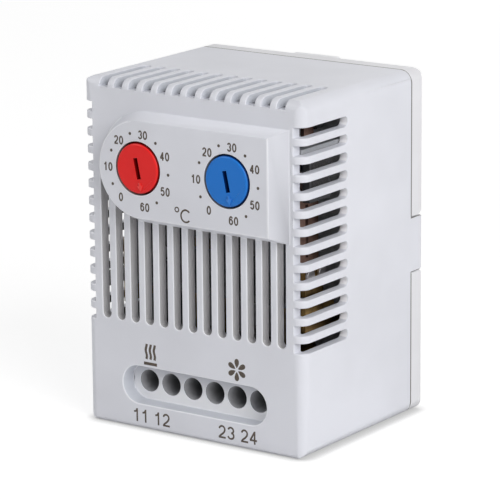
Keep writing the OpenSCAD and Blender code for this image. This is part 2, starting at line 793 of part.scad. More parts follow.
// Knob with flange, stop tab, snail cam and journal, at the middle of its dial
module knob(flip) {
    face_y = -panel_proud - knob_proud;
    tab_deg = 270 + (360 - dial_sweep) / 2;
    difference() {
        union() {
            translate([0, face_y, 0]) rotate([-90, 0, 0]) {
                cylinder(r1 = knob_r - knob_edge, r2 = knob_r, h = knob_edge);
                translate([0, 0, knob_edge])
                    cylinder(r = knob_r, h = flange_y - face_y - knob_edge);
            }
            rod_y(flange_r, flange_y, flange_w);
            rotate([0, -tab_deg, 0]) along_y(flange_y, flange_w) intersection() {
                circle(stop_r);
                polygon([[0, 0], 2 * stop_r * [cos(stop_deg), sin(stop_deg)],
                    2 * stop_r * [cos(stop_deg), -sin(stop_deg)]]);
            }
            rod_y(hub_r, flange_y, cam_y - flange_y);
            rotate([0, flip ? 0 : 180, 0]) along_y(cam_y, cam_w) cam_outline(flip);
            rod_y(shaft_r, cam_y, frame_y - seat_gap - cam_y);
            rod_y(journal_r, cam_y, frame_y + frame_t + boss_w + 2 * seat_gap - cam_y);
            // Arrow and its stem, raised on the face below the slot
            rotate([0, rest_turn, 0]) along_y(face_y - arrow_t, knob_edge + arrow_t) {
                translate([0, -arrow_r]) polygon([[0, -arrow_l / 3], [arrow_w / 2, arrow_l / 3],
                    [-arrow_w / 2, arrow_l / 3]]);
                translate([-arrow_w / 6, -arrow_r]) square([arrow_w / 3, arrow_l * 2 / 3]);
            }
        }
        rotate([0, rest_turn, 0])
            block([-knob_slot_w / 2, face_y - cut, -knob_slot_l / 2],
                [knob_slot_w / 2, face_y + knob_slot_d, knob_slot_l / 2]);
    }
}
module knob_heat() {
    color("#cf2a2b") from_front() translate([-dial_x, 0, dial_z]) knob(false);
}
module knob_cool() {
    color("#2a6fc0") from_front() translate([dial_x, 0, dial_z]) knob(true);
}

// Moves what sits on the cooling lever's pin to its place
module cool_side() {
    translate([-cool_shift, 0, 0]) children();
}

// Setting lever with its nose on the cam
module lever() {
    end_y = lever_y + lever_w;
    difference() {
        union() {
            block([lever_x, lever_y, pin_z], [lever_x + lever_t, lever_y + barrel_l, lever_top_z]);
            block([lever_x, lever_y, pin_z + 2 * spring_r],
                [lever_x + lever_t, end_y, lever_top_z]);
            translate([pin_x, 0, pin_z]) rod_y(barrel_r, lever_y, barrel_l);
            translate([0, 0, dial_z]) {
                translate([lever_x - nose_h + nose_r, 0, 0]) rod_y(nose_r, lever_y, cam_w);
                block([lever_x - nose_h + nose_r, lever_y, -nose_r],
                    [lever_x + lever_t / 2, lever_y + cam_w, nose_r]);
            }
        }
        translate([pin_x, 0, pin_z]) rod_y(pin_d / 2 + run_gap, lever_y - cut, lever_w + 2 * cut);
        block([lever_x - cut, lever_y + lever_w / 4, pin_z + lever_arm / 4],
            [lever_x + lever_t + cut, end_y - lever_w / 4, pin_z + lever_arm * 3 / 4]);
    }
}
module lever_cool() { color("#8f9aa6") from_front() cool_side() lever(); }
module lever_heat() { color("#8f9aa6") from_front() mirror([1, 0, 0]) lever(); }

module lever_pin() {
    translate([pin_x, 0, pin_z])
        rod_y(pin_d / 2, ear_y, busbar_y + busbar_t + ear_t / 2 - ear_y);
}
module lever_pin_cool() { color(plated) from_front() cool_side() lever_pin(); }
module lever_pin_heat() { color(plated) from_front() mirror([1, 0, 0]) lever_pin(); }

// Hairpin spring: one leg on the outer face of the lever, the other down to the shelf
module lever_spring() {
    y = lever_y + barrel_l + seat_gap + spring_wire_r;
    leg_up = [lever_t / 2 + spring_wire_r + press_gap, -lever_arm / 5, 0];
    leg_down = [-2 * spring_r, pin_h - spring_wire_r - press_gap, spring_pitch * spring_turns];
    translate([pin_x, y, pin_z]) rotate([-90, 0, 0])
        tube(concat([leg_up], helix(spring_r, spring_pitch, spring_turns), [leg_down]),
            spring_wire_r);
}
module lever_spring_cool() { color(plated) from_front() cool_side() lever_spring(); }
module lever_spring_heat() { color(plated) from_front() mirror([1, 0, 0]) lever_spring(); }

// Contact blade on the lever, with its button
module blade() {
    x = lever_x + lever_t;
    block([x, bimetal_y - lever_w / 4, pin_z + lever_arm / 3],
        [x + blade_t, lever_y + lever_w, lever_top_z]);
}
module button(x) {
    translate([0, bimetal_y, contact_z]) rod_x(button_r, x, button_t);
}
module blade_cool() { color(brass) from_front() cool_side() blade(); }
module blade_heat() { color(brass) from_front() mirror([1, 0, 0]) blade(); }
module fixed_contact_cool() {
    color("silver") from_front() cool_side() button(lever_x + lever_t + blade_t);
}
module fixed_contact_heat() {
    color("silver") from_front() mirror([1, 0, 0]) button(lever_x + lever_t + blade_t);
}

// The heating switch rests closed, so its strip leans in by the closing angle
module leaning() {
    x = bimetal_x + bimetal_t / 2;
    mirror([1, 0, 0]) translate([x, 0, rivet_z]) rotate([0, -closed_deg, 0])
        translate([-x, 0, -rivet_z]) children();
}

// Slit bimetal strip with a narrow tip
module bimetal() {
    low = bimetal_low_z;
    neck_z = contact_z - button_r;
    difference() {
        along_x(bimetal_x, bimetal_t) translate([bimetal_y, 0]) polygon([
            [-bimetal_w / 2, low], [bimetal_w / 2, low], [bimetal_w / 2, neck_z],
            [bimetal_tip_w / 2, contact_z + button_r], [bimetal_tip_w / 2, bimetal_top_z],
            [-bimetal_tip_w / 2, bimetal_top_z], [-bimetal_tip_w / 2, contact_z + button_r],
            [-bimetal_w / 2, neck_z]]);
        block([bimetal_x - cut, bimetal_y - bimetal_w / 5, low + slit_low],
            [bimetal_x + bimetal_t + cut, bimetal_y - bimetal_w / 5 + slit_w,
                neck_z - slit_high]);
        for (y = [-1, 1] * rivet_pitch / 2) translate([0, bimetal_y + y, rivet_z])
            rod_x(rivet_r + seat_gap, bimetal_x - cut, bimetal_t + 2 * cut);
    }
}
module armature() {
    block([bimetal_x + bimetal_t, bimetal_y - magnet_w / 2, magnet_z + magnet_h / 2
        - armature_h / 2], [bimetal_x + bimetal_t + armature_t, bimetal_y + magnet_w / 2,
        magnet_z + magnet_h / 2 + armature_h / 2]);
}
module bimetal_cool() { color("#b87850") from_front() bimetal(); }
module bimetal_heat() { color("#b87850") from_front() leaning() bimetal(); }
module moving_contact_cool() {
    color("silver") from_front() button(bimetal_x - button_t);
}
module moving_contact_heat() {
    color("silver") from_front() leaning() button(bimetal_x - button_t);
}
module armature_cool() { color(plated) from_front() armature(); }
module armature_heat() { color(plated) from_front() leaning() armature(); }

module magnet() {
    block([magnet_x, bimetal_y - magnet_w / 2, magnet_z],
        [magnet_x + magnet_t, bimetal_y + magnet_w / 2, magnet_z + magnet_h]);
}
module magnet_cool() { color("#2b2b2e") from_front() magnet(); }
module magnet_heat() { color("#2b2b2e") from_front() mirror([1, 0, 0]) magnet(); }

// Rivets that hold a strip to its brass foot
module bimetal_rivets() {
    low_x = bimetal_x - rivet_head_t - seat_gap;
    high_x = foot_x + busbar_t + press_gap;
    for (y = [-1, 1] * rivet_pitch / 2) translate([0, bimetal_y + y, rivet_z]) {
        rod_x(rivet_r, low_x, high_x + rivet_head_t - low_x);
        rod_x(rivet_head_r, low_x, rivet_head_t);
        rod_x(rivet_head_r, high_x, rivet_head_t);
    }
}
module bimetal_rivets_cool() { color(plated) from_front() bimetal_rivets(); }
module bimetal_rivets_heat() { color(plated) from_front() mirror([1, 0, 0]) bimetal_rivets(); }

// Busbar from an inner pole up to the rear end of the lever's pin
module pin_busbar(end_x) {
    x = 1.5 * pole_pitch;
    arm_h = 2 * barrel_r;
    difference() {
        along_y(busbar_y, busbar_t) {
            translate([x - busbar_w / 2, busbar_end_z])
                square([busbar_w, pin_z + arm_h / 2 - busbar_end_z]);
            translate([x - busbar_w / 2, pin_z - arm_h / 2])
                square([end_x - x + busbar_w / 2, arm_h]);
            translate([end_x, pin_z]) circle(arm_h / 2);
        }
        translate([end_x, 0, pin_z])
            rod_y(pin_d / 2 + press_gap, busbar_y - cut, busbar_t + 2 * cut);
    }
}
// Busbar from an outer pole, bent forward to the foot of the bimetal
module foot_busbar() {
    x = 2.5 * pole_pitch - busbar_w / 2;
    end_x = foot_x + busbar_t;
    foot_y = bimetal_y - foot_w / 2;
    difference() {
        union() {
            block([x, busbar_y, busbar_end_z],
                [x + busbar_w, busbar_y + busbar_t, low_bar_z + low_bar_h]);
            block([x, busbar_y, low_bar_z], [end_x, busbar_y + busbar_t, low_bar_z + low_bar_h]);
            block([foot_x, foot_y, low_bar_z], [end_x, busbar_y, low_bar_z + low_bar_h]);
            block([foot_x, foot_y, low_bar_z], [end_x, foot_y + foot_w, foot_top_z]);
        }
        for (y = [-1, 1] * rivet_pitch / 2) translate([0, bimetal_y + y, rivet_z])
            rod_x(rivet_r + press_gap, foot_x - cut, busbar_t + 2 * cut);
    }
}
module busbar_11() { color(brass) from_front() mirror([1, 0, 0]) foot_busbar(); }
module busbar_12() { color(brass) from_front() mirror([1, 0, 0]) pin_busbar(pin_x); }
module busbar_23() { color(brass) from_front() pin_busbar(pin_x - cool_shift); }
module busbar_24() { color(brass) from_front() foot_busbar(); }

// Clamp cage round the end of a busbar, open above and below
module clamp_cage(pole) {
    color(plated) from_front() translate([pole * pole_pitch, 0, pole_z]) difference() {
        block([-cage_w / 2, cage_y, -cage_h / 2], [cage_w / 2, cage_y + cage_l, cage_h / 2]);
        block([-cage_w / 2 + cage_wall, cage_y + cage_front_t, -cage_h / 2 - cut],
            [cage_w / 2 - cage_wall, cage_y + cage_l - cage_rear_t, cage_h / 2 + cut]);
        rod_y(screw_d / 2 + run_gap, cage_y - cut, cage_front_t + 2 * cut);
    }
}
// Captive screw that draws a cage forward
module terminal_screw(pole) {
    y = block_y + head_pocket_d - press_gap - head_t;
    color(plated) from_front() translate([pole * pole_pitch, 0, pole_z]) difference() {
        union() {
            rod_y(head_r, y, head_t);
            rod_y(screw_d / 2, y, busbar_y - seat_gap - y);
        }
        block([-head_r - cut, y - cut, -knob_slot_w / 3],
            [head_r + cut, y + head_t / 2, knob_slot_w / 3]);
    }
}
module clamp_cage_11() { clamp_cage(-2.5); }
module clamp_cage_12() { clamp_cage(-1.5); }
module clamp_cage_23() { clamp_cage(1.5); }
module clamp_cage_24() { clamp_cage(2.5); }
module terminal_screw_11() { terminal_screw(-2.5); }
module terminal_screw_12() { terminal_screw(-1.5); }
module terminal_screw_23() { terminal_screw(1.5); }
module terminal_screw_24() { terminal_screw(2.5); }

front_housing();
rear_cover();
chassis();
chassis_screws();
terminal_block();
rail_latch();
latch_spring();
knob_heat();
knob_cool();
lever_heat();
lever_cool();
lever_pin_heat();
lever_pin_cool();
lever_spring_heat();
lever_spring_cool();
blade_heat();
blade_cool();
fixed_contact_heat();
fixed_contact_cool();
bimetal_heat();
bimetal_cool();
moving_contact_heat();
moving_contact_cool();
armature_heat();
armature_cool();
magnet_heat();
magnet_cool();
bimetal_rivets_heat();
bimetal_rivets_cool();
busbar_11();
busbar_12();
busbar_23();
busbar_24();
clamp_cage_11();
clamp_cage_12();
clamp_cage_23();
clamp_cage_24();
terminal_screw_11();
terminal_screw_12();
terminal_screw_23();
terminal_screw_24();
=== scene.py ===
import json
import math

import bpy
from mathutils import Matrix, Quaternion, Vector


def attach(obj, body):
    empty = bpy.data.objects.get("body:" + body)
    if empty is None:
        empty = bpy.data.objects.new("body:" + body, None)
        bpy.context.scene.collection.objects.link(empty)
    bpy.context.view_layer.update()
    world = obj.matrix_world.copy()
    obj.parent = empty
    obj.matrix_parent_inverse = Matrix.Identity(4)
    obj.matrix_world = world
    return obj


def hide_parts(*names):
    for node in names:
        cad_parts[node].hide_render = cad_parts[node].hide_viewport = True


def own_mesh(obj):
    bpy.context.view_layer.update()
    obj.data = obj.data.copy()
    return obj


# Dual thermostat for a 35 mm rail. Lengths in the settings are in millimetres.
mm = 0.001

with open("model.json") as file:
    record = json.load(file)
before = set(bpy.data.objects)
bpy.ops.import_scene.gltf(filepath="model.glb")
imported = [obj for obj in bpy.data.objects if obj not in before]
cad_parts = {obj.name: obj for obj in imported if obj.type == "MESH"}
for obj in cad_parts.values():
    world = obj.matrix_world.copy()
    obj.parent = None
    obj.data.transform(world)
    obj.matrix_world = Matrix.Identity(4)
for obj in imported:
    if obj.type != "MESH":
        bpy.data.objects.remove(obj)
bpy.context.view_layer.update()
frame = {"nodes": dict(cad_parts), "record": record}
print("frame loaded:", len(frame["nodes"]), "nodes")


# Camera at the photograph's viewing angle
camera = {
    "azimuth": 35.15,
    "elevation": 13.91,
    "roll": -0.50,
    "lens": 229.8,
    "sensor": 36,
    "clipStart": 10,
    "distance": 606.5,
    "target": (-0.47, -0.43, 32.51),
}


def addCamera():
    turn = math.radians(camera["azimuth"])
    lift = math.radians(camera["elevation"])
    roll = Quaternion((0, 0, 1), math.radians(camera["roll"]))
    outward = Vector((
        math.sin(turn) * math.cos(lift),
        -math.cos(turn) * math.cos(lift),
        math.sin(lift),
    ))
    bpy.ops.object.camera_add()
    eye = bpy.context.object
    eye.name = "camera"
    eye.data.lens = camera["lens"]
    eye.data.sensor_width = camera["sensor"]
    eye.data.clip_start = camera["clipStart"] * mm
    eye.location = Vector(camera["target"]) * mm + outward * camera["distance"] * mm
    eye.rotation_mode = "QUATERNION"
    eye.rotation_quaternion = outward.to_track_quat("Z", "Y") @ roll
    bpy.context.scene.camera = eye


# Node helpers for the finishes
def newFinish(name):
    finish = bpy.data.materials.new(name)
    finish.use_nodes = True
    nodes = finish.node_tree.nodes
    coords = nodes.new("ShaderNodeTexCoord")
    return finish, nodes, finish.node_tree.links, nodes["Principled BSDF"], coords


# Scale and detail of the noise in the finishes: a larger scale is finer
patterns = {
    "cloud": (60, 2),
    "spark": (5200, 3),
    "patch": (420, 4),
    "line": (900, 3),
    "pores": (3200, 5),
    "speck": (4000, 2),
}


def addNoise(nodes, links, coords, name, stretch=(1, 1, 1)):
    scale, detail = patterns[name]
    place = nodes.new("ShaderNodeMapping")
    place.inputs["Scale"].default_value = stretch
    noise = nodes.new("ShaderNodeTexNoise")
    noise.inputs["Scale"].default_value = scale
    noise.inputs["Detail"].default_value = detail
    links.new(coords.outputs["Object"], place.inputs["Vector"])
    links.new(place.outputs["Vector"], noise.inputs["Vector"])
    return noise


def addRamp(nodes, links, source, low, high, start=0.35, stop=0.65):
    ramp = nodes.new("ShaderNodeValToRGB")
    ramp.color_ramp.elements[0].position = start
    ramp.color_ramp.elements[1].position = stop
    ramp.color_ramp.elements[0].color = (*low, 1)
    ramp.color_ramp.elements[1].color = (*high, 1)
    links.new(source, ramp.inputs["Fac"])
    return ramp


def addRange(nodes, links, source, low, high):
    spread = nodes.new("ShaderNodeMapRange")
    spread.inputs["To Min"].default_value = low
    spread.inputs["To Max"].default_value = high
    links.new(source, spread.inputs["Value"])
    return spread


def addBump(nodes, links, shader, source, height, strength):
    bump = nodes.new("ShaderNodeBump")
    bump.inputs["Distance"].default_value = height * mm
    bump.inputs["Strength"].default_value = strength
    links.new(source, bump.inputs["Height"])
    links.new(bump.outputs["Normal"], shader.inputs["Normal"])


plastic = {"glossSwing": 0.05, "grainStrength": 0.35}


# Moulded plastic: a fine spark-eroded grain, slow drifts of tone and a satin gloss
def mouldedPlastic(name, colour, rough, grain=0.02, drift=0.03, specular=0.42):
    finish, nodes, links, shader, coords = newFinish(name)
    cloud = addNoise(nodes, links, coords, "cloud")
    spark = addNoise(nodes, links, coords, "spark")
    dark = [c * (1 - drift) for c in colour]
    light = [min(1, c * (1 + drift)) for c in colour]
    tone = addRamp(nodes, links, cloud.outputs["Fac"], dark, light)
    links.new(tone.outputs["Color"], shader.inputs["Base Color"])
    low, high = rough - plastic["glossSwing"], rough + plastic["glossSwing"]
    gloss = addRange(nodes, links, spark.outputs["Fac"], low, high)
    links.new(gloss.outputs["Result"], shader.inputs["Roughness"])
    shader.inputs["Specular IOR Level"].default_value = specular
    addBump(nodes, links, shader, spark.outputs["Fac"], grain, plastic["grainStrength"])
    return finish


# Painted shade that runs along an axis: darker inwards in the tubes, darkest at the front edge
# of the slot walls, and on the recess floor a painted shadow at the top that gives way to
# painted light lower down
shades = {
    "tube": {
        "axis": "Y",
        "start": -16.6,
        "stop": -11.5,
        "first": (0.60, 0.60, 0.62),
        "last": (0.17, 0.175, 0.185),
    },
    "slotWallShade": {
        "axis": "Y",
        "start": -19.7,
        "stop": -17.7,
        "first": (0.43, 0.425, 0.43),
        "last": (0.93, 0.92, 0.94),
    },
    "recessFloorShadowAndLight": {
        "axis": "Z",
        "start": 12.9,
        "stop": 7.5,
        "first": (0.46, 0.47, 0.525),
        "last": (0.95, 0.955, 0.98),
    },
}

shaded = {"rough": (0.5, 0.64), "specular": 0.25, "grain": 0.02, "grainStrength": 0.3}


# Moulded plastic with painted shade, its tone running from one place to another
def shadedPlastic(name, shade):
    finish, nodes, links, shader, coords = newFinish(name)
    split = nodes.new("ShaderNodeSeparateXYZ")
    links.new(coords.outputs["Object"], split.inputs["Vector"])
    depth = addRange(nodes, links, split.outputs[shade["axis"]], 0, 1)
    depth.inputs["From Min"].default_value = shade["start"] * mm
    depth.inputs["From Max"].default_value = shade["stop"] * mm
    tone = addRamp(nodes, links, depth.outputs["Result"], shade["first"], shade["last"], 0, 1)
    links.new(tone.outputs["Color"], shader.inputs["Base Color"])
    spark = addNoise(nodes, links, coords, "spark")
    gloss = addRange(nodes, links, spark.outputs["Fac"], *shaded["rough"])
    links.new(gloss.outputs["Result"], shader.inputs["Roughness"])
    shader.inputs["Specular IOR Level"].default_value = shaded["specular"]
    addBump(nodes, links, shader, spark.outputs["Fac"], shaded["grain"], shaded["grainStrength"])
    return finish


metal = {
    "patches": (0.3, 0.7),
    "smoother": 0.1,
    "rougher": 0.16,
    "lineDepth": 0.01,
    "lineStrength": 0.3,
}


# Metal strip or pin: rolling lines along one axis and dull patches
def rolledMetal(name, bright, dull, rough, stretch=(1, 1, 14)):
    finish, nodes, links, shader, coords = newFinish(name)
    patch = addNoise(nodes, links, coords, "patch")
    line = addNoise(nodes, links, coords, "line", stretch)
    tone = addRamp(nodes, links, patch.outputs["Fac"], dull, bright, *metal["patches"])
    links.new(tone.outputs["Color"], shader.inputs["Base Color"])
    low, high = rough - metal["smoother"], rough + metal["rougher"]
    gloss = addRange(nodes, links, line.outputs["Fac"], low, high)
    links.new(gloss.outputs["Result"], shader.inputs["Roughness"])
    shader.inputs["Metallic"].default_value = 1
    addBump(nodes, links, shader, line.outputs["Fac"], metal["lineDepth"], metal["lineStrength"])
    return finish


ferrite = {"dark": 0.6, "light": 1.8, "rough": 0.62, "poreDepth": 0.03, "poreStrength": 0.5}


# Sintered ferrite: near black, with coarse pores
def sinteredFerrite(name, colour):
    finish, nodes, links, shader, coords = newFinish(name)
    pores = addNoise(nodes, links, coords, "pores")
    dark = [c * ferrite["dark"] for c in colour]
    light = [c * ferrite["light"] for c in colour]
    tone = addRamp(nodes, links, pores.outputs["Fac"], dark, light)
    links.new(tone.outputs["Color"], shader.inputs["Base Color"])
    shader.inputs["Roughness"].default_value = ferrite["rough"]
    depth, strength = ferrite["poreDepth"], ferrite["poreStrength"]
    addBump(nodes, links, shader, pores.outputs["Fac"], depth, strength)
    return finish


ink = {"light": 1.35, "specks": (0.4, 0.75), "rough": 0.6, "specular": 0.3}


# Printing ink that lets a little of the grain through
def printedInk(name, colour):
    finish, nodes, links, shader, coords = newFinish(name)
    speck = addNoise(nodes, links, coords, "speck")
    light = [c * ink["light"] for c in colour]
    tone = addRamp(nodes, links, speck.outputs["Fac"], colour, light, *ink["specks"])
    links.new(tone.outputs["Color"], shader.inputs["Base Color"])
    shader.inputs["Roughness"].default_value = ink["rough"]
    shader.inputs["Specular IOR Level"].default_value = ink["specular"]
    return finish


# The record's material slots, and the finishes that some faces take instead
finishes = {
    "shell": mouldedPlastic("shellGrey", (0.730, 0.738, 0.790), 0.42, 0.02, 0.03, 0.32),
    # Painted highlight along the rims of the front
    "edge": mouldedPlastic("shellEdgeHighlight", (0.840, 0.846, 0.890), 0.36, 0.01, 0.02, 0.40),
    # Painted shade on the walls of the slots, the knob holes and the side slots' ends
    "slotWallShade": shadedPlastic("slotWallShade", shades["slotWallShade"]),
    # Painted shade on the slope at the right of the panel
    "slope": mouldedPlastic("slopeShade", (0.665, 0.672, 0.722), 0.42, 0.02, 0.03, 0.32),
    # Painted shade on the walls of the recess and of the top slots
    "recessWallShade": mouldedPlastic("recessWallShade", (0.63, 0.65, 0.70), 0.45, 0.02, 0.03, 0.3),
    # Painted shadow of the recess's upper rim at the top of its floor, giving way to painted
    # light lower down
    "recessFloorShadowAndLight": shadedPlastic("recessFloorShadowAndLight", shades["recessFloorShadowAndLight"]),
    "seamShade": mouldedPlastic("seamShade", (0.20, 0.19, 0.18), 0.6, 0.0, 0.03, 0.2),
    "cover": mouldedPlastic("coverGrey", (0.775, 0.772, 0.800), 0.42, 0.02, 0.03, 0.32),
    "latch": mouldedPlastic("latchGrey", (0.86, 0.865, 0.89), 0.40, 0.02, 0.03, 0.35),
    # Painted shade in the screwdriver tubes, darker inwards
    "tube": shadedPlastic("tubeShade", shades["tube"]),
    # Painted shade over the whole inside of the shell
    "inside": mouldedPlastic("shellInsideShade", (0.075, 0.075, 0.080), 0.55),
    "frame_plastic": mouldedPlastic("frameGrey", (0.075, 0.076, 0.080), 0.5),
    "frameLight": mouldedPlastic("frameLight", (0.36, 0.37, 0.39), 0.5),
    "dark_plastic": mouldedPlastic("blockGrey", (0.05, 0.05, 0.055), 0.5),
    "lever_plastic": mouldedPlastic("leverGrey", (0.13, 0.14, 0.16), 0.45),
    "red_plastic": mouldedPlastic("signalRed", (0.80, 0.010, 0.010), 0.34, 0.006, 0.03, 0.3),
    "blue_plastic": mouldedPlastic("signalBlue", (0.006, 0.165, 0.585), 0.34, 0.006, 0.03, 0.3),
    "redShade": mouldedPlastic("redShade", (0.26, 0.003, 0.003), 0.5, 0.006, 0.03, 0.1),
    "blueShade": mouldedPlastic("blueShade", (0.002, 0.030, 0.15), 0.5, 0.006, 0.03, 0.1),
    # Painted highlight on the raised arrows of the knobs
    "redArrowHighlight": mouldedPlastic("redArrowHighlight", (0.86, 0.045, 0.040), 0.34, 0.006, 0.03, 0.3),
    "blueArrowHighlight": mouldedPlastic("blueArrowHighlight", (0.03, 0.21, 0.66), 0.34, 0.006, 0.03, 0.3),
    "plated_steel": rolledMetal(
        "zincPlate", (0.62, 0.60, 0.62), (0.45, 0.43, 0.44), 0.34, (1, 1, 1)),
    "brass": rolledMetal("brassStrip", (0.34, 0.22, 0.08), (0.12, 0.075, 0.032), 0.36),
    "silver": rolledMetal(
        "silverButton", (0.80, 0.79, 0.76), (0.60, 0.58, 0.55), 0.3, (1, 1, 1)),
    "bimetal": rolledMetal("copperStrip", (0.33, 0.205, 0.165), (0.19, 0.115, 0.09), 0.38),
    "ferrite": sinteredFerrite("ferriteBlack", (0.035, 0.033, 0.034)),
    "ink": printedInk("printInk", (0.088, 0.070, 0.056)),
}
print("finishes made:", len(finishes))


record = frame["record"]
slotOfNode = {part["node"]: part["material_slot"] for part in record["subparts"]}
bodyOfNode = {
    node: body for body, members in record["behaviour"]["bodies"].items() for node in members
}

# Mesh work: welds in millimetres, angles in degrees
meshing = {
    "nodeWeld": 0.0005,
    "nodeFlat": 0.2,
    "nodeSmooth": 38,
    "sharp": 30,
    "bevelSegments": 3,
    "wireWeld": 0.001,
    "wireSmooth": 50,
    "inkWeld": 0.002,
}


def selectOnly(piece):
    bpy.ops.object.select_all(action="DESELECT")
    piece.select_set(True)
    bpy.context.view_layer.objects.active = piece


def setFinish(piece, slotName, finishName=None):
    piece.data.materials.clear()
    piece.data.materials.append(finishes[finishName or slotName])


def copyNode(node):
    source = frame["nodes"][node]
    piece = bpy.data.objects.new(node + "_skin", source.data.copy())
    bpy.context.scene.collection.objects.link(piece)
    selectOnly(piece)
    bpy.ops.object.mode_set(mode="EDIT")
    bpy.ops.mesh.select_all(action="SELECT")
    bpy.ops.mesh.remove_doubles(threshold=meshing["nodeWeld"] * mm)
    bpy.ops.mesh.dissolve_limited(angle_limit=math.radians(meshing["nodeFlat"]))
    bpy.ops.mesh.select_all(action="DESELECT")
    bpy.ops.object.mode_set(mode="OBJECT")
    return piece


# Cuts the chosen faces along a plane, which leaves plain faces to round
def splitFaces(piece, chosen, place, normal):
    for face in piece.data.polygons:
        face.select = chosen(face.center / mm)
    bpy.ops.object.mode_set(mode="EDIT")
    bpy.ops.mesh.bisect(plane_co=place, plane_no=normal)
    bpy.ops.mesh.select_all(action="DESELECT")
    bpy.ops.object.mode_set(mode="OBJECT")


# How far each edge turns, in degrees, with its middle in millimetres
def edgeTurns(mesh):
    sides = {}
    for face in mesh.polygons:
        for key in face.edge_keys:
            sides.setdefault(key, []).append(face.normal.copy())
    turns = []
    for edge in mesh.edges:
        pair = sides.get(edge.key, [])
        turn = math.degrees(pair[0].angle(pair[1], 0)) if len(pair) == 2 else 0
        first, last = (mesh.vertices[i].co for i in edge.vertices)
        turns.append((turn, (first + last) / 2 / mm))
    return turns


# Rounds each sharp edge by the radius that radiusAt gives for its place
def roundEdges(piece, radiusAt, edgeFinish=-1):
    sharp = meshing["sharp"]
    radii = [radiusAt(middle) if turn > sharp else 0 for turn, middle in edgeTurns(piece.data)]
    widest = max(radii)
    weights = piece.data.attributes.new("bevel_weight_edge", "FLOAT", "EDGE")
    for i, radius in enumerate(radii):
        weights.data[i].value = radius / widest
    selectOnly(piece)
    rounding = piece.modifiers.new("rounding", "BEVEL")
    rounding.width = widest * mm
    rounding.segments = meshing["bevelSegments"]
    rounding.limit_method = "WEIGHT"
    rounding.use_clamp_overlap = False
    rounding.loop_slide = False
    rounding.material = edgeFinish
    rounding.miter_outer = "MITER_ARC"
    bpy.ops.object.modifier_apply(modifier="rounding")
    bpy.ops.object.shade_smooth_by_angle(angle=math.radians(meshing["nodeSmooth"]))
    level = piece.modifiers.new("level", "WEIGHTED_NORMAL")
    level.keep_sharp = True
    bpy.ops.object.modifier_apply(modifier="level")


# Nodes with a finish of their own within their material slot
ownFinish = {"rail_latch": "latch"}


def finishNode(piece, node):
    setFinish(piece, slotOfNode[node], ownFinish.get(node))
    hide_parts(node)
    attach(piece, bodyOfNode[node])


# Planes and sizes of the shell that the rules below go by
shell = {
    "halfWidth": 25,
    "height": 67,
    "frontY": -19.8,
    "panelY": -22.6,
    "seamY": 16.5,
    "dialX": 10.1,
    "dialZ": 51.3,
    "knobHoleR": 5.1,
    "recess": {"halfLength": 17.3, "lowZ": 4.6, "topZ": 12.8},
    "recessFloorY": -16.5,
    "tubes": 6,
    "tubePitch": 5.08,
    "tubeZ": 8.65,
    "tubeReach": 2.2,
    "mouthReach": 2.25,
    "outerDepth": 0.68,
    "frontSlotDepth": 2.25,
    "sideSlotDepth": 1.85,
}

# Edge radii of the shell
shellRadii = {
    "rim": 0.17,
    "crease": 0.20,
    "knobHole": 0.14,
    "recessRim": 0.24,
    "recessCorner": 0.35,
    "tubeMouth": 0.14,
    "slotInner": 0.07,
    "seam": 0.16,
}

# How near to a plane an edge counts as on it, and a face counts as flush with it
near = 0.05
flush = 0.01


# Distances across the front from the nearest dial and the nearest tube
def toDial(p):
    return min(math.hypot(p.x - side * shell["dialX"], p.z - shell["dialZ"]) for side in (-1, 1))


def toTube(p):
    across = abs((p.x / shell["tubePitch"]) % 1 - 0.5) * shell["tubePitch"]
    return math.hypot(across, p.z - shell["tubeZ"])


def inRecess(p):
    recess = shell["recess"]
    return abs(p.x) < recess["halfLength"] and recess["lowZ"] < p.z < recess["topZ"]


def shellRadius(p):
    aside = shell["halfWidth"] - abs(p.x)
    depth = min(aside, p.z, shell["height"] - p.z, p.y - shell["frontY"])
    if p.y < shell["panelY"] + near:
        onHole = toDial(p) < shell["knobHoleR"] + 2 * near
        return shellRadii["knobHole"] if onHole else shellRadii["crease"]
    if p.y < shell["frontY"] - near:
        return 0
    if inRecess(p) and p.y < shell["frontY"] + near:
        return shellRadii["recessRim"]
    if inRecess(p) and abs(p.y - shell["recessFloorY"]) < near:
        onMouth = toTube(p) < shell["mouthReach"]
        return shellRadii["tubeMouth"] if onMouth else shellRadii["recessCorner"]
    if p.y > shell["seamY"] - near:
        return shellRadii["seam"] if depth < 2 * near else 0
    if depth < shell["outerDepth"]:
        return shellRadii["rim"]
    if p.y < shell["frontY"] + shell["frontSlotDepth"] or aside < shell["sideSlotDepth"]:
        return shellRadii["slotInner"]
    return 0


# Finishes of the shell, in the order of its material indexes; all but the first are painted
# highlight, painted shade or painted shadow
shellFinishes = (
    "shell",
    "edge",
    "slotWallShade",
    "tube",
    "inside",
    "seamShade",
    "recessWallShade",
    "recessFloorShadowAndLight",
    "slope",
)

# Where the shell's finishes lie
zones = {
    "hollow": {"x": 23.3, "z": (1.7, 65.3), "y": -17.65},
    "footZ": 0.2,
    "slopeAhead": 0.2,
    "seamReach": 0.2,
    "highlightRims": {"x": 20, "z": 60, "depth": 0.3},
    "sideSlotEnds": {"x": (23.3, 24.8), "z": (15, 62), "y": -12},
    "topSlots": {"x": 21.5, "z": 58},
    "frontSlots": {"x": 21.5, "z": (19.5, 48), "y": (-19.7, -17.55)},
}

# Parts of a normal along an axis: at most for the sides, at least for the others
facing = {"tubeSide": 0.2, "side": 0.3, "slope": 0.3, "mostly": 0.7, "square": 0.9}


def within(value, limits):
    return limits[0] < value < limits[1]


# Rounding gives every rim the painted highlight of the edge finish, and only those on the front
# keep it; at the foot the rims take the painted seam shade as a painted contact shadow
def rimFinish(p):
    rims = zones["highlightRims"]
    if p.z < zones["footZ"]:
        return "seamShade"
    inFront = p.y < shell["frontY"] + rims["depth"]
    return "edge" if inFront and p.x < rims["x"] and p.z < rims["z"] else "shell"
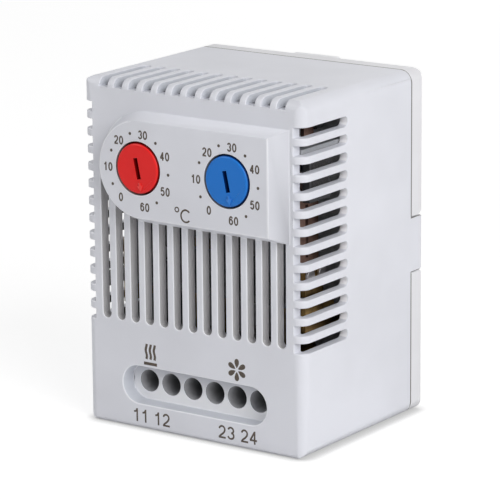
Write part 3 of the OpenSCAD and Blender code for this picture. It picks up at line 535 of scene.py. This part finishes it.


# The finish of a face of the shell, from its place, its normal and the finish it has: painted
# shade in the tubes, on the recess walls, the knob holes' walls, the inside, the right slope,
# the seam, the side slots' ends and the walls of the top and front slots, and painted shadow and
# light on the recess floor
def shellFinish(p, normal, now):
    floorY = shell["recessFloorY"]
    sideways = abs(normal.y) < facing["side"]
    hollow, ends = zones["hollow"], zones["sideSlotEnds"]
    topSlots, frontSlots = zones["topSlots"], zones["frontSlots"]
    beyondFloor = inRecess(p) and p.y > floorY - near
    atTubes = beyondFloor and abs(p.z - shell["tubeZ"]) < shell["tubeReach"]
    if atTubes and abs(normal.y) < facing["tubeSide"]:
        return "tube"
    if inRecess(p) and p.y < floorY + near:
        if beyondFloor and normal.y < -facing["square"]:
            return "recessFloorShadowAndLight"
        return "recessWallShade" if sideways else now
    if toDial(p) < shell["knobHoleR"] + near and sideways:
        return "slotWallShade"
    if abs(p.x) < hollow["x"] and within(p.z, hollow["z"]) and p.y > hollow["y"]:
        return "inside"
    ahead = p.y < shell["frontY"] - zones["slopeAhead"]
    if ahead and normal.x > facing["slope"] and now != "edge":
        return "slope"
    atSeam = p.y > shell["seamY"] - zones["seamReach"]
    if atSeam and (now == "edge" or normal.y > facing["square"]):
        return "seamShade"
    if now == "edge":
        return rimFinish(p)
    atEnds = within(abs(p.x), ends["x"]) and within(p.z, ends["z"]) and p.y > ends["y"]
    if atEnds and normal.y < -facing["mostly"]:
        return "slotWallShade"
    atTop = p.z > topSlots["z"] and abs(p.x) < topSlots["x"]
    if atTop and abs(normal.x) > facing["mostly"]:
        return "recessWallShade"
    atFront = abs(p.x) < frontSlots["x"] and within(p.z, frontSlots["z"])
    return "slotWallShade" if atFront and within(p.y, frontSlots["y"]) and sideways else now


# The floor of the recess is cut through the middle of each tube
def splitRecessFloor(piece):
    def onFloor(p):
        return inRecess(p) and abs(p.y - shell["recessFloorY"]) < flush

    for tube in range(shell["tubes"]):
        x = (tube - (shell["tubes"] - 1) / 2) * shell["tubePitch"]
        splitFaces(piece, onFloor, (x * mm, 0, 0), (1, 0, 0))


def dressShell():
    piece = copyNode("front_housing")
    splitRecessFloor(piece)
    piece.data.materials.clear()
    for name in shellFinishes:
        piece.data.materials.append(finishes[name])
    roundEdges(piece, shellRadius, shellFinishes.index("edge"))
    for face in piece.data.polygons:
        now = shellFinishes[face.material_index]
        finish = shellFinish(face.center / mm, face.normal, now)
        face.material_index = shellFinishes.index(finish)
    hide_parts("front_housing")
    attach(piece, bodyOfNode["front_housing"])
    print("shell dressed:", len(piece.data.polygons), "faces")


# Knobs: rounded rim and softened slot, with painted shade on the side and slot and a painted
# highlight on the arrow
knob = {
    "faceY": -22.85,
    "rim": 0.16,
    "rimFrom": 4.38,
    "rimDepth": 0.45,
    "slot": 0.08,
    "slotTo": 2.1,
    "arrowRise": 0.13,
    "lean": 12,
    "shadedSlotTo": 2.3,
    "shadedSlotDepth": 0.08,
    "shadedSideDepth": 0.25,
    "shades": {
        "knob_heat": ("redShade", "redArrowHighlight"),
        "knob_cool": ("blueShade", "blueArrowHighlight"),
    },
}


# 0 for the plain face of a knob, 1 for the painted shade on its side and slot, 2 for the painted
# highlight on its arrow
def knobFinish(p):
    if p.y < knob["faceY"] - near:
        return 2
    onSlot = toDial(p) < knob["shadedSlotTo"]
    shadeFrom = knob["shadedSlotDepth"] if onSlot else knob["shadedSideDepth"]
    return 1 if p.y > knob["faceY"] + shadeFrom else 0


def knobRadius(p):
    if p.y < knob["faceY"] - knob["arrowRise"]:
        return 0
    if p.y < knob["faceY"] + knob["rimDepth"] and toDial(p) > knob["rimFrom"]:
        return knob["rim"]
    if abs(p.y - knob["faceY"]) < 2 * flush and toDial(p) < knob["slotTo"]:
        return knob["slot"]
    return 0


# The face of a knob is cut along its slot and arrow
def splitKnobFace(piece, middleX):
    lean = math.radians(knob["lean"])
    place = (middleX * mm, 0, shell["dialZ"] * mm)
    splitFaces(piece, lambda p: abs(p.y - knob["faceY"]) < flush, place,
               (math.cos(lean), 0, math.sin(lean)))


def dressKnobs():
    for node, middleX in (("knob_heat", -shell["dialX"]), ("knob_cool", shell["dialX"])):
        piece = copyNode(node)
        splitKnobFace(piece, middleX)
        roundEdges(piece, knobRadius)
        finishNode(piece, node)
        for name in knob["shades"][node]:
            piece.data.materials.append(finishes[name])
        for face in piece.data.polygons:
            face.material_index = knobFinish(face.center / mm)
    print("knobs dressed")


# Edge radii of the other rigid parts: mouldings are rounder than stampings
softEdges = {
    "rear_cover": 0.18,
    "rail_latch": 0.18,
    "chassis": 0.12,
    "terminal_block": 0.12,
    "lever": 0.12,
    "lever_pin": 0.12,
    "chassis_screws": 0.10,
    "blade": 0.06,
    "fixed_contact": 0.12,
    "moving_contact": 0.12,
    "bimetal": 0.10,
    "bimetal_rivets": 0.12,
    "armature": 0.08,
    "magnet": 0.15,
    "busbar": 0.10,
    "clamp_cage": 0.10,
    "terminal_screw": 0.10,
}

# Within these limits the slit and the rivet holes of a bimetal strip stay sharp
stripInside = {"y": (-12.9, -7.7), "z": (31.2, 62.1)}

# Parts whose faces take a second finish in one place
byPlace = {
    "rear_cover": ("cover", "seamShade", lambda p: p.y < shell["seamY"] + 0.32),
    "chassis": ("frame_plastic", "frameLight", lambda p: p.z > 56.5),
}


def stripRadius(p):
    low, high = stripInside["y"]
    foot, tip = stripInside["z"]
    return softEdges["bimetal"] if p.y < low or p.y > high or p.z < foot or p.z > tip else 0


def dressByPlace(piece, usual, other, isOther):
    piece.data.materials.clear()
    piece.data.materials.append(finishes[usual])
    piece.data.materials.append(finishes[other])
    for face in piece.data.polygons:
        face.material_index = 1 if isOther(face.center / mm) else 0


# The longest name in softEdges that starts the node's name; the springs are wound on their own
def kindOf(node):
    kinds = [kind for kind in softEdges if node.startswith(kind) and "spring" not in node]
    return max(kinds, key=len, default=None)


def dressParts():
    for node in frame["nodes"]:
        kind = kindOf(node)
        if kind is None:
            continue
        piece = copyNode(node)
        roundEdges(piece, stripRadius if kind == "bimetal" else lambda p: softEdges[kind])
        finishNode(piece, node)
        if node in byPlace:
            dressByPlace(piece, *byPlace[node])
    print("other parts dressed")


def sweepLine(name, points, radius, smooth=3):
    bpy.ops.object.select_all(action="DESELECT")
    bpy.ops.curve.primitive_bezier_curve_add(location=(0, 0, 0))
    line = bpy.context.object
    line.name = name
    line.data.splines.clear()
    path = line.data.splines.new("POLY")
    path.points.add(len(points) - 1)
    for i, (x, y, z) in enumerate(points):
        path.points[i].co = (x * mm, y * mm, z * mm, 1)
    line.data.dimensions = "3D"
    line.data.bevel_depth = radius * mm
    line.data.bevel_resolution = smooth
    line.data.use_fill_caps = True
    selectOnly(line)
    bpy.ops.object.convert(target="MESH")
    return bpy.context.object


# Joins what the sweep left open and turns the faces outwards
def weldSwept(piece, gap):
    selectOnly(piece)
    bpy.ops.object.mode_set(mode="EDIT")
    bpy.ops.mesh.select_all(action="SELECT")
    bpy.ops.mesh.remove_doubles(threshold=gap * mm)
    bpy.ops.mesh.normals_make_consistent(inside=False)
    bpy.ops.object.mode_set(mode="OBJECT")


def finishSpring(piece, node):
    weldSwept(piece, meshing["wireWeld"])
    bpy.ops.object.shade_smooth_by_angle(angle=math.radians(meshing["wireSmooth"]))
    finishNode(piece, node)


# Points in each turn of a spring
stepsPerTurn = 28

# Compression spring of the rail latch, its end turns closed
latchSpring = {
    "middle": (0, 19.3),
    "lowZ": 56.5,
    "topZ": 64.2,
    "radius": 1.0,
    "wire": 0.2,
    "openTurns": 5,
    "closedTurns": 3,
}


def windLatchSpring():
    x, y = latchSpring["middle"]
    wire, radius = latchSpring["wire"], latchSpring["radius"]
    closed = latchSpring["closedTurns"]
    turns = latchSpring["openTurns"] + closed
    height = latchSpring["topZ"] - latchSpring["lowZ"]
    openRise = (height - closed * 2 * wire) / latchSpring["openTurns"]
    points = []
    rise = 0
    for i in range(turns * stepsPerTurn + 1):
        turn = i / stepsPerTurn
        angle = math.tau * turn
        points.append((x + radius * math.cos(angle), y + radius * math.sin(angle),
                       latchSpring["lowZ"] + rise))
        atEnd = turn < closed / 2 or turn > turns - closed / 2
        rise += (2 * wire if atEnd else openRise) / stepsPerTurn
    piece = sweepLine("latch_spring_wire", points, wire)
    finishSpring(piece, "latch_spring")
    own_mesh(piece)


# Hairpin springs round the lever pins: x outwards, y down and z back from the pin
leverSpring = {
    "pinX": {"heat": -15.8, "cool": 14.3},
    "pinZ": 31.6,
    "y": -9.925,
    "radius": 1.325,
    "wire": 0.175,
    "pitch": 0.8,
    "turns": 3.25,
    "legUp": (1.12, -3.94, 0),
    "legDown": (-2.65, 2.275, 2.6),
}


def windLeverSprings():
    line = [leverSpring["legUp"]]
    for i in range(round(leverSpring["turns"] * stepsPerTurn) + 1):
        angle = math.tau * i / stepsPerTurn
        line.append((
            leverSpring["radius"] * math.cos(angle),
            leverSpring["radius"] * math.sin(angle),
            leverSpring["pitch"] * i / stepsPerTurn,
        ))
    line.append(leverSpring["legDown"])
    for side, pinX in leverSpring["pinX"].items():
        outwards = -1 if side == "heat" else 1
        points = [(pinX + outwards * out, leverSpring["y"] + back, leverSpring["pinZ"] - down)
                  for out, down, back in line]
        piece = sweepLine("lever_spring_wire_" + side, points, leverSpring["wire"])
        finishSpring(piece, "lever_spring_" + side)


# Print on the housing: a thin layer of ink standing on the moulded face
printing = {
    "inkThick": 0.02,
    "dialZ": 50.95,
    "dialX": {"heat": -10.1, "cool": 10.03},
    "numbers": (
        ("0", -4.0, -5.5),
        ("10", -6.9, 0.0),
        ("20", -4.3, 5.3),
        ("30", 1.25, 6.8),
        ("40", 6.25, 3.35),
        ("50", 6.25, -3.3),
        ("60", 1.5, -6.8),
    ),
    "dots": (
        (-5.85, -3.2), (-6.05, 3.15), (-1.65, 6.8), (4.2, 5.6), (7.0, -0.05), (4.3, -5.6),
    ),
    "dotRadius": 0.29,
    "dotSides": 24,
    "strokeSmooth": 2,
    "dialDigit": {"height": 1.70, "advance": 1.14, "width": 0.99, "stroke": 0.31},
    "terminalDigit": {"height": 2.56, "advance": 2.0, "width": 1.70, "stroke": 0.37},
    "terminals": (("11", -12.52), ("12", -7.5), ("23", 7.45), ("24", 12.55)),
    "terminalFootZ": 1.35,
    "degreeRing": {"middle": (-1.22, 44.66), "radius": 0.42, "halfStroke": 0.13},
    "degreeLetter": {"place": (0.79, 42.33), "height": 2.64, "width": 2.52, "stroke": 0.35},
}
panelFace = shell["panelY"]
frontFace = shell["frontY"]


def arc(x, z, wide, high, start, stop, steps=14):
    turns = [math.radians(start + (stop - start) * i / steps) for i in range(steps + 1)]
    return [(x + wide * math.cos(turn), z + high * math.sin(turn)) for turn in turns]


# Centre lines of the signs, from -0.5 to 0.5 across and 0 to 1 up
signLines = {
    "0": [arc(0, 0.5, 0.5, 0.5, 0, 360, 30)],
    "1": [
        [(0.14, -0.08), (0.14, 1.08)],
        [(-0.40, 0.76), (-0.12, 0.80), (0.04, 0.89), (0.12, 1.02)],
    ],
    "2": [
        arc(0, 0.72, 0.47, 0.28, 172, -18)
        + [(0.38, 0.52), (0.10, 0.33), (-0.28, 0.16), (-0.48, 0.0)],
        [(-0.58, 0), (0.62, 0)],
    ],
    "3": [arc(0, 0.74, 0.44, 0.26, 165, -82), arc(0, 0.27, 0.49, 0.27, 82, -168)],
    "4": [
        [(0.22, -0.08), (0.22, 1.06)],
        [(-0.58, 0.26), (0.62, 0.26)],
        [(-0.5, 0.26), (0.20, 1)],
    ],
    "5": [
        [(0.48, 1), (-0.38, 1)],
        [(-0.33, 1), (-0.45, 0.49)],
        arc(0, 0.33, 0.49, 0.33, 150, -160),
    ],
    "6": [arc(0, 0.32, 0.48, 0.32, 0, 360, 24), arc(0.02, 0.58, 0.50, 0.42, 190, 32)],
    "C": [arc(0, 0.5, 0.5, 0.5, 42, 318, 24)],
}


def applyPlace():
    bpy.ops.object.transform_apply(location=True, rotation=True, scale=True)


def finishInk(name, piece):
    piece.name = name
    selectOnly(piece)
    applyPlace()
    weldSwept(piece, meshing["inkWeld"])
    setFinish(piece, "shell", "ink")
    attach(piece, "housing")


def joinPieces(pieces):
    bpy.ops.object.select_all(action="DESELECT")
    for piece in pieces:
        piece.select_set(True)
    bpy.context.view_layer.objects.active = pieces[0]
    if len(pieces) > 1:
        bpy.ops.object.join()
    return bpy.context.object


# One stroke of ink with round edges, flattened onto the face
def inkStroke(points, width, y):
    spots = [(x, 0, z) for x, z in points]
    line = sweepLine("stroke", spots, width / 2, printing["strokeSmooth"])
    line.scale = (1, 2 * printing["inkThick"] / width, 1)
    line.location = (0, y * mm, 0)
    applyPlace()
    return line


# A sign drawn in strokes, its foot at z
def inkSign(sign, x, z, y, style):
    across, up = style["width"] - style["stroke"], style["height"] - style["stroke"]
    low = z + style["stroke"] / 2
    return [inkStroke([(x + a * across, low + b * up) for a, b in line], style["stroke"], y)
            for line in signLines[sign]]


def inkNumber(name, number, x, z, y, style):
    pieces = []
    for i, digit in enumerate(number):
        aside = (i - (len(number) - 1) / 2) * style["advance"]
        pieces += inkSign(digit, x + aside, z, y, style)
    finishInk(name, joinPieces(pieces))


def inkDot(name, x, z, y):
    bpy.ops.object.select_all(action="DESELECT")
    bpy.ops.mesh.primitive_cylinder_add(
        vertices=printing["dotSides"],
        radius=printing["dotRadius"] * mm,
        depth=2 * printing["inkThick"] * mm,
        location=(x * mm, y * mm, z * mm),
        rotation=(math.pi / 2, 0, 0),
    )
    finishInk(name, bpy.context.object)


# A filled outline of ink round the place x, z
def inkLeaf(outline, x, z, y):
    bpy.ops.object.select_all(action="DESELECT")
    bpy.ops.curve.primitive_bezier_curve_add(location=(0, 0, 0))
    leaf = bpy.context.object
    leaf.data.dimensions = "2D"
    leaf.data.fill_mode = "BOTH"
    leaf.data.extrude = printing["inkThick"] * mm
    leaf.data.splines.clear()
    path = leaf.data.splines.new("POLY")
    path.points.add(len(outline) - 1)
    for i, (a, b) in enumerate(outline):
        path.points[i].co = (a * mm, b * mm, 0, 1)
    path.use_cyclic_u = True
    selectOnly(leaf)
    bpy.ops.object.convert(target="MESH")
    leaf = bpy.context.object
    leaf.rotation_euler = (math.pi / 2, 0, 0)
    leaf.location = (x * mm, y * mm, z * mm)
    applyPlace()
    return leaf


def printDial(name):
    style = printing["dialDigit"]
    x, z = printing["dialX"][name], printing["dialZ"]
    for number, right, up in printing["numbers"]:
        mark = "mark_%s_%s" % (name, number)
        inkNumber(mark, number, x + right, z + up - style["height"] / 2, panelFace, style)
    for i, (right, up) in enumerate(printing["dots"]):
        dot = "dot_%s_%d" % (name, 10 * i + 5)
        inkDot(dot, x + right, z + up, panelFace)


def printDegree():
    ring, letter = printing["degreeRing"], printing["degreeLetter"]
    x, z = ring["middle"]
    circle = arc(x, z, ring["radius"], ring["radius"], 0, 360, 28)
    pieces = [inkStroke(circle, 2 * ring["halfStroke"], panelFace)]
    pieces += inkSign("C", letter["place"][0], letter["place"][1], panelFace, letter)
    finishInk("mark_degree", joinPieces(pieces))


def printTerminals():
    style = printing["terminalDigit"]
    for number, x in printing["terminals"]:
        inkNumber("mark_" + number, number, x, printing["terminalFootZ"], frontFace, style)


# Heating: three waves over a bar
heating = {
    "middle": (-9.98, 15.45),
    "height": 2.95,
    "spread": 0.94,
    "swing": 0.125,
    "swings": 1.25,
    "steps": 16,
    "width": 0.53,
    "barZ": 13.12,
    "barLength": 3.05,
    "barWidth": 0.60,
}


def printHeating():
    x, z = heating["middle"]
    pieces = []
    for side in (-1, 0, 1):
        points = []
        for i in range(heating["steps"] + 1):
            share = i / heating["steps"]
            sway = heating["swing"] * math.sin(math.tau * share * heating["swings"])
            points.append((x + side * heating["spread"] + sway,
                           z + (share - 0.5) * heating["height"]))
        pieces.append(inkStroke(points, heating["width"], frontFace))
    half = heating["barLength"] / 2
    bar = [(x - half, heating["barZ"]), (x + half, heating["barZ"])]
    pieces.append(inkStroke(bar, heating["barWidth"], frontFace))
    finishInk("mark_heating", joinPieces(pieces))


# Cooling: petals round a middle, each pointed inwards
cooling = {
    "middle": (9.95, 15.1),
    "petals": 6,
    "firstTurn": 90,
    "steps": 24,
    "inner": 0.36,
    "outer": 2.14,
    "width": 1.13,
    "fullness": 1.12,
    "taper": 0.45,
}


def printCooling():
    x, z = cooling["middle"]
    pieces = []
    for petal in range(cooling["petals"]):
        turn = math.radians(cooling["firstTurn"] + 360 / cooling["petals"] * petal)
        outline = []
        for i in range(cooling["steps"]):
            share = math.tau * i / cooling["steps"]
            along = (1 - math.cos(share)) / 2
            wide = math.sin(share) * along ** cooling["taper"]
            across = wide * cooling["width"] / 2 * cooling["fullness"]
            reach = cooling["inner"] + along * (cooling["outer"] - cooling["inner"])
            outline.append((reach * math.cos(turn) - across * math.sin(turn),
                            reach * math.sin(turn) + across * math.cos(turn)))
        pieces.append(inkLeaf(outline, x, z, frontFace))
    finishInk("mark_cooling", joinPieces(pieces))


# Floor, backdrop and light
stage = {
    "floorSize": 4000,
    "floorZ": -0.02,
    "floorSeen": (0.45, 0.45, 0.45),
    "floorBounce": (0.90, 0.90, 0.90),
    "floorRough": 0.9,
    "floorGlow": 0.725,
    "contactReach": 2.4,
    "contactShade": 0.72,
    "contactFrom": 0.5,
    "contactSamples": 12,
    "worldLight": 0.33,
    "lampAim": (0, 0, 30),
    "lamps": {
        "rightLamp": {"power": 3.85, "size": 560, "place": (620, -260, 420)},
        "leftLamp": {"power": 0.80, "size": 200, "place": (-430, -350, 540)},
        "backLamp": {"power": 0.90, "size": 500, "place": (-150, 700, 120)},
    },
}

# Colour sockets of a mix node, which share their names with its other sockets
mixSockets = {"unseen": 6, "seen": 7, "result": 2}


# 1 for what the camera sees, straight or in gloss and glass, and 0 for the light on the object
def addSeen(nodes, links):
    path = nodes.new("ShaderNodeLightPath")
    seen = path.outputs["Is Camera Ray"]
    for ray in ("Is Glossy Ray", "Is Transmission Ray"):
        either = nodes.new("ShaderNodeMath")
        either.operation = "MAXIMUM"
        links.new(seen, either.inputs[0])
        links.new(path.outputs[ray], either.inputs[1])
        seen = either.outputs[0]
    return seen


# The floor glows white for the camera and darkens close to the object
def floorFinish():
    finish = bpy.data.materials.new("floorWhite")
    finish.use_nodes = True
    nodes = finish.node_tree.nodes
    links = finish.node_tree.links
    shader = nodes["Principled BSDF"]
    seen = addSeen(nodes, links)

    white = nodes.new("ShaderNodeMix")
    white.data_type = "RGBA"
    white.inputs[mixSockets["unseen"]].default_value = (*stage["floorBounce"], 1)
    white.inputs[mixSockets["seen"]].default_value = (*stage["floorSeen"], 1)
    links.new(seen, white.inputs["Factor"])

    closeness = nodes.new("ShaderNodeAmbientOcclusion")
    closeness.samples = stage["contactSamples"]
    closeness.inputs["Distance"].default_value = stage["contactReach"] * mm
    links.new(white.outputs[mixSockets["result"]], closeness.inputs["Color"])
    contact = addRange(nodes, links, closeness.outputs["AO"], stage["contactShade"], 1)
    contact.inputs["From Min"].default_value = stage["contactFrom"]
    links.new(closeness.outputs["Color"], shader.inputs["Base Color"])
    shader.inputs["Roughness"].default_value = stage["floorRough"]
    shader.inputs["Specular IOR Level"].default_value = 0

    glow = nodes.new("ShaderNodeEmission")
    scale = nodes.new("ShaderNodeMath")
    scale.operation = "MULTIPLY"
    scale.inputs[1].default_value = stage["floorGlow"]
    links.new(seen, scale.inputs[0])
    links.new(contact.outputs["Result"], glow.inputs["Color"])
    links.new(scale.outputs[0], glow.inputs["Strength"])

    both = nodes.new("ShaderNodeAddShader")
    links.new(shader.outputs[0], both.inputs[0])
    links.new(glow.outputs[0], both.inputs[1])
    links.new(both.outputs[0], nodes["Material Output"].inputs["Surface"])
    return finish


def addFloor():
    place = (0, 0, stage["floorZ"] * mm)
    bpy.ops.mesh.primitive_plane_add(size=stage["floorSize"] * mm, location=place)
    floor = bpy.context.object
    floor.name = "floor"
    floor.data.materials.append(floorFinish())


# A white world for the camera, dimmer for the light on the object
def addWorld():
    world = bpy.data.worlds.new("studio")
    bpy.context.scene.world = world
    world.use_nodes = True
    nodes = world.node_tree.nodes
    links = world.node_tree.links
    sky = nodes["Background"]
    sky.inputs["Color"].default_value = (1, 1, 1, 1)
    level = addRange(nodes, links, addSeen(nodes, links), stage["worldLight"], 1)
    links.new(level.outputs["Result"], sky.inputs["Strength"])


def addLamps():
    for name, lamp in stage["lamps"].items():
        bpy.ops.object.light_add(type="AREA")
        light = bpy.context.object
        light.name = name
        light.data.shape = "DISK"
        light.data.size = lamp["size"] * mm
        light.data.energy = lamp["power"]
        light.location = Vector(lamp["place"]) * mm
        toObject = Vector(stage["lampAim"]) - Vector(lamp["place"])
        light.rotation_mode = "QUATERNION"
        light.rotation_quaternion = toObject.to_track_quat("-Z", "Y")


bpy.context.scene.view_settings.view_transform = "Standard"
addCamera()
addFloor()
addWorld()
addLamps()
dressShell()
dressKnobs()
dressParts()
windLatchSpring()
windLeverSprings()
print("springs wound")
printDial("heat")
printDial("cool")
printDegree()
printTerminals()
printHeating()
printCooling()
print("printing done")
